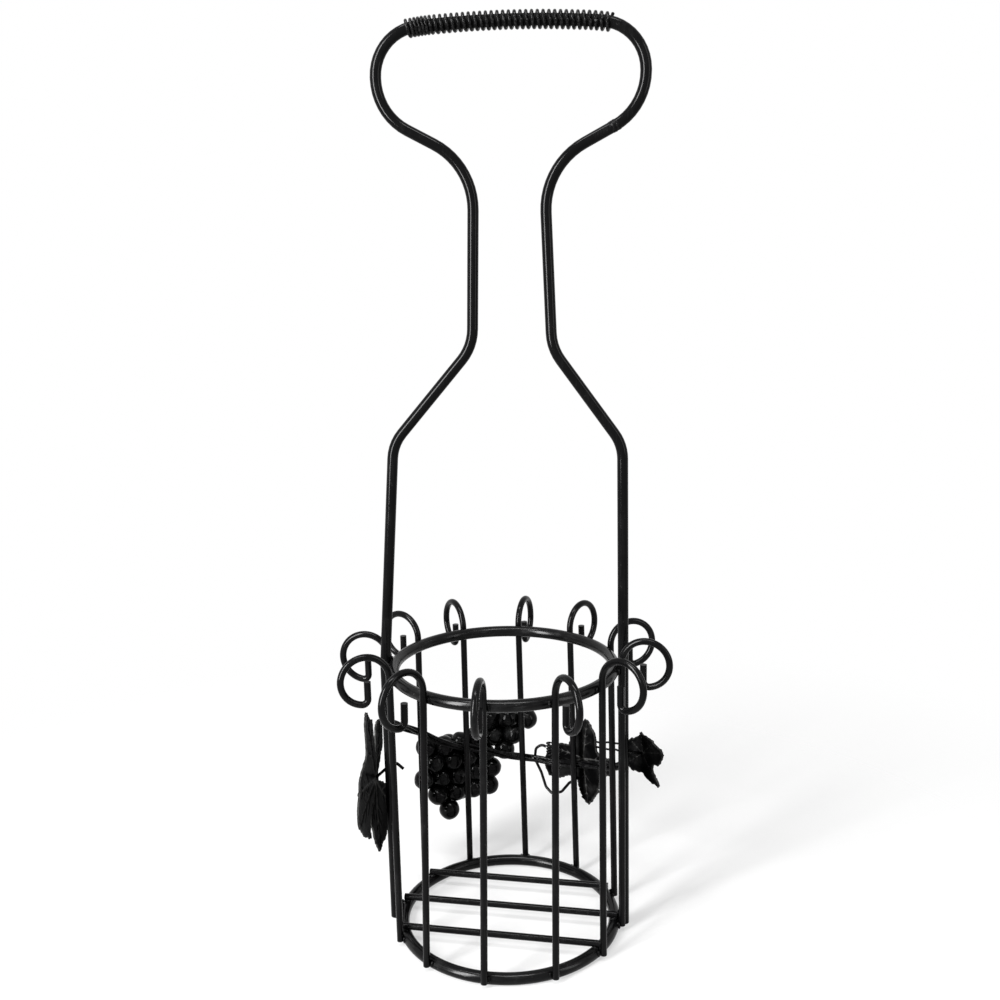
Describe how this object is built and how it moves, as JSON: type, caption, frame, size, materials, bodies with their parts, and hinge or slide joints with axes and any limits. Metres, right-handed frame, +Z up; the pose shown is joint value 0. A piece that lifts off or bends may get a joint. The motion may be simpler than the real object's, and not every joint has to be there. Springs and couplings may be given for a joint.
{
  "type": "bottle caddy",
  "caption": "Open wrought-iron wine bottle caddy: a round wire cage with scrolled bars, a tall bottle-shaped carrying handle with a wire-wound grip, and a grapevine ornament on the back.",
  "frame": {"origin": "On the cage's axis, in the plane of the table that the base ring stands on.", "axes": "+Z up along the cage's axis; +X to the right and -Y towards the viewer of the picture; the handle's plane is turned five degrees from the XZ plane."},
  "size_m": [0.1569, 0.1594, 0.4232],
  "materials": {
    "ring_iron": "satin black paint over hot-rolled rod, lightly scuffed",
    "bar_iron": "satin black paint over drawn wire",
    "handle_iron": "satin black paint over round rod",
    "weld_iron": "painted weld bead",
    "winding_iron": "satin black paint over thin wire",
    "vine_iron": "semi-gloss black paint over thin wire",
    "berry_iron": "glossy black paint over steel balls",
    "leaf_iron": "matte black paint over sheet metal"
  },
  "bodies": {
    "root": {"base_ring": "ring_iron", "floor_rod_back": "bar_iron", "floor_rod_front": "bar_iron", "floor_rod_middle": "bar_iron", "grapes_large": "berry_iron", "grapes_small": "berry_iron", "grip_winding": "winding_iron", "handle_rod_left": "handle_iron", "handle_rod_right": "handle_iron", "handle_weld": "weld_iron", "leaf_back": "leaf_iron", "leaf_left": "leaf_iron", "leaf_left_stem": "vine_iron", "leaf_right": "leaf_iron", "leaf_right_stem": "vine_iron", "scroll_bar_01": "bar_iron", "scroll_bar_02": "bar_iron", "scroll_bar_03": "bar_iron", "scroll_bar_04": "bar_iron", "scroll_bar_05": "bar_iron", "scroll_bar_06": "bar_iron", "scroll_bar_07": "bar_iron", "scroll_bar_08": "bar_iron", "scroll_bar_09": "bar_iron", "scroll_bar_10": "bar_iron", "scroll_bar_11": "bar_iron", "scroll_bar_12": "bar_iron", "tendril_coil": "vine_iron", "tendril_loop": "vine_iron", "top_ring": "ring_iron", "vine_wire_1": "vine_iron", "vine_wire_2": "vine_iron", "vine_wire_3": "vine_iron"}
  },
  "joints": []
}
